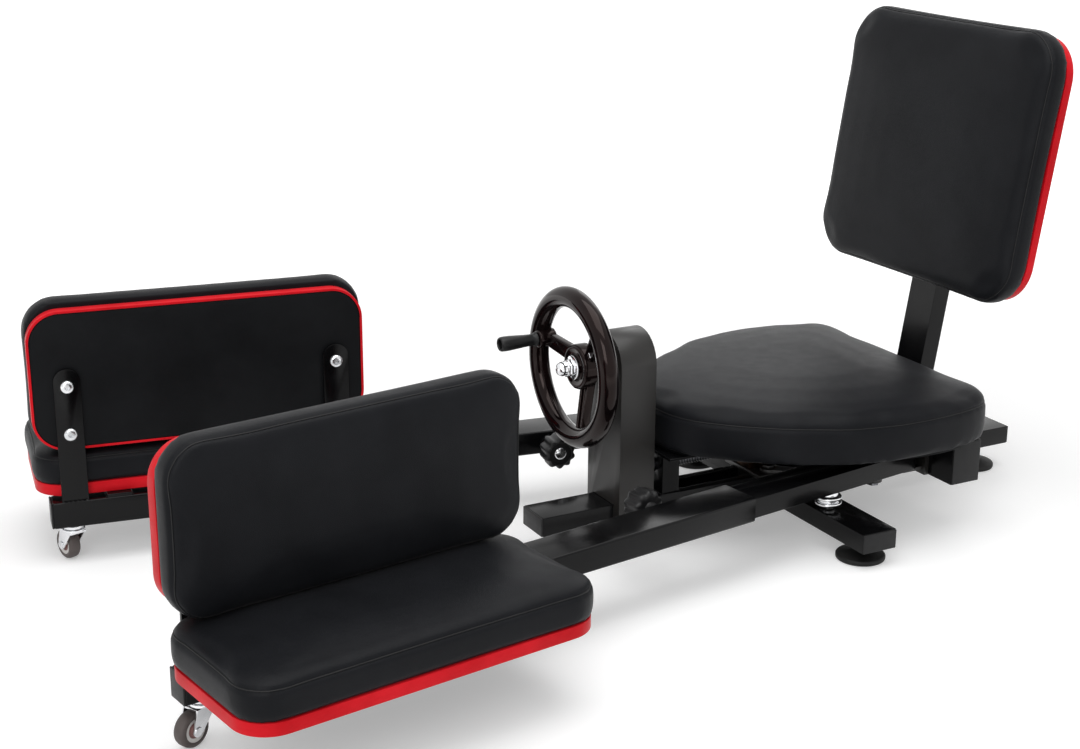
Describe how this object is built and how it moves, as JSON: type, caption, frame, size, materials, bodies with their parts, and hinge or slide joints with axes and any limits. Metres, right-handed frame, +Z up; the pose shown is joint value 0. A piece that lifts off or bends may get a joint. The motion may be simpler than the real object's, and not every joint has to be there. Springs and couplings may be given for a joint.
{
  "type": "leg stretching machine",
  "caption": "Floor leg stretching machine: padded seat and backrest on a black steel base, a chrome-nutted handwheel, and two hinged arms with padded leg rests on casters.",
  "frame": {"origin": "on the floor under the middle of the whole machine's box", "axes": "+Z up, -Y the way the user's legs point, +X to the user's left"},
  "size_m": [0.8692, 1.2914, 0.6342],
  "materials": {
    "gloss_frame": "gloss",
    "satin_frame": "satin",
    "black_resin": "gloss",
    "black_plastic": "satin",
    "chrome": "polished",
    "steel": "satin",
    "bronze": "satin",
    "black_leather": "satin",
    "red_band": "satin",
    "plywood": "matte",
    "foot_rubber": "matte",
    "caster_tread": "satin"
  },
  "bodies": {
    "frame": {"main_beam": "gloss_frame", "cross_bar": "gloss_frame", "foot_front": "foot_rubber", "foot_rear": "foot_rubber", "foot_left": "foot_rubber", "foot_right": "foot_rubber", "column_housing": "satin_frame", "shaft_bush_front": "steel", "shaft_bush_rear": "steel", "screw_bush_front": "steel", "drive_chain": "steel", "screw_end_block": "satin_frame", "rear_cross_tube": "gloss_frame", "pivot_yoke": "satin_frame", "pivot_pin_left": "steel", "pivot_pin_right": "steel", "seat_post": "gloss_frame", "seat_board": "plywood", "seat_cushion": "black_leather", "back_post": "gloss_frame", "back_board": "red_band", "back_cushion": "black_leather"},
    "handwheel": {"handwheel": "black_resin", "wheel_shaft": "steel", "wheel_nut": "chrome", "crank_pin": "chrome", "upper_sprocket": "steel"},
    "crank_handle": {"crank_handle": "black_plastic"},
    "lead_screw": {"lead_screw": "steel", "lower_sprocket": "steel"},
    "nut_carriage": {"screw_nut": "bronze", "crosshead": "satin_frame"},
    "link_left": {"link_left": "satin_frame", "link_bolt_left": "steel"},
    "arm_left": {"arm_tube_left": "gloss_frame", "thrust_stop_left": "chrome"},
    "leg_left": {"leg_frame_left": "gloss_frame", "leg_board_left": "red_band", "leg_cushion_left": "black_leather", "pad_board_left": "red_band", "pad_cushion_left": "black_leather", "caster_stem_left": "chrome"},
    "knob_left": {"pull_knob_left": "black_plastic"},
    "fork_left": {"caster_fork_left": "chrome", "caster_axle_left": "chrome"},
    "wheel_left": {"caster_wheel_left": "caster_tread"},
    "link_right": {"link_right": "satin_frame", "link_bolt_right": "steel"},
    "arm_right": {"arm_tube_right": "gloss_frame", "thrust_stop_right": "chrome"},
    "leg_right": {"leg_frame_right": "gloss_frame", "leg_board_right": "red_band", "leg_cushion_right": "black_leather", "pad_board_right": "red_band", "pad_cushion_right": "black_leather", "caster_stem_right": "chrome"},
    "knob_right": {"pull_knob_right": "black_plastic"},
    "fork_right": {"caster_fork_right": "chrome", "caster_axle_right": "chrome"},
    "wheel_right": {"caster_wheel_right": "caster_tread"}
  },
  "joints": [
    {"name": "left_arm_swing", "type": "hinge", "parent": "frame", "child": "arm_left", "pos_m": [0.113, 0.37769, 0.09], "axis": [0, 0, 1], "range_deg": [0, 81.4]},
    {"name": "right_arm_swing", "type": "hinge", "parent": "frame", "child": "arm_right", "pos_m": [-0.113, 0.37769, 0.09], "axis": [0, 0, -1], "range_deg": [0, 81.4]},
    {"name": "nut_travel", "type": "slide", "parent": "frame", "child": "nut_carriage", "axis": [0, 1, 0], "range_m": [0, 0.10715]},
    {"name": "screw_spin", "type": "hinge", "parent": "frame", "child": "lead_screw", "pos_m": [0, 0.23869, 0.09395], "axis": [0, -1, 0], "range_deg": [0, 3214.39]},
    {"name": "handwheel_spin", "type": "hinge", "parent": "frame", "child": "handwheel", "pos_m": [0, -0.04431, 0.24], "axis": [0, -1, 0], "range_deg": [0, 3214.39]},
    {"name": "left_link_swing", "type": "hinge", "parent": "nut_carriage", "child": "link_left", "pos_m": [0.028, 0.23415, 0.0688], "axis": [0, 0, -1], "range_deg": [0, 31.57]},
    {"name": "right_link_swing", "type": "hinge", "parent": "nut_carriage", "child": "link_right", "pos_m": [-0.028, 0.23415, 0.0688], "axis": [0, 0, 1], "range_deg": [0, 31.57]},
    {"name": "crank_handle_spin", "type": "hinge", "parent": "handwheel", "child": "crank_handle", "pos_m": [-0.07051, -0.08231, 0.25889], "axis": [0, 1, 0], "continuous": true},
    {"name": "left_leg_slide", "type": "slide", "parent": "arm_left", "child": "leg_left", "axis": [0.1495, -0.9888, 0], "range_m": [-0.08, 0.04]},
    {"name": "left_knob_pull", "type": "slide", "parent": "leg_left", "child": "knob_left", "axis": [-0.9888, -0.1495, 0], "range_m": [0, 0.008], "stiffness_N_per_m": 800},
    {"name": "left_caster_swivel", "type": "hinge", "parent": "leg_left", "child": "fork_left", "pos_m": [0.25046, -0.6048, 0.044], "axis": [0, 0, 1], "continuous": true},
    {"name": "left_caster_roll", "type": "hinge", "parent": "fork_left", "child": "wheel_left", "pos_m": [0.25722, -0.6193, 0.019], "axis": [0.9063, 0.4226, 0], "continuous": true},
    {"name": "right_leg_slide", "type": "slide", "parent": "arm_right", "child": "leg_right", "axis": [-0.1495, -0.9888, 0], "range_m": [-0.08, 0.04]},
    {"name": "right_knob_pull", "type": "slide", "parent": "leg_right", "child": "knob_right", "axis": [0.9888, -0.1495, 0], "range_m": [0, 0.008], "stiffness_N_per_m": 800},
    {"name": "right_caster_swivel", "type": "hinge", "parent": "leg_right", "child": "fork_right", "pos_m": [-0.25046, -0.6048, 0.044], "axis": [0, 0, 1], "continuous": true},
    {"name": "right_caster_roll", "type": "hinge", "parent": "fork_right", "child": "wheel_right", "pos_m": [-0.26592, -0.60894, 0.019], "axis": [0.2588, -0.9659, 0], "continuous": true}
  ],
  "couplings": [
    {"joint": "right_arm_swing", "follows": "left_arm_swing", "ratio": 1},
    {"joint": "nut_travel", "follows": "left_arm_swing", "m_per_rad": 0.075416},
    {"joint": "screw_spin", "follows": "left_arm_swing", "ratio": 39.488},
    {"joint": "handwheel_spin", "follows": "left_arm_swing", "ratio": 39.488},
    {"joint": "left_link_swing", "follows": "left_arm_swing", "ratio": 0.38765},
    {"joint": "right_link_swing", "follows": "left_arm_swing", "ratio": 0.38765}
  ]
}
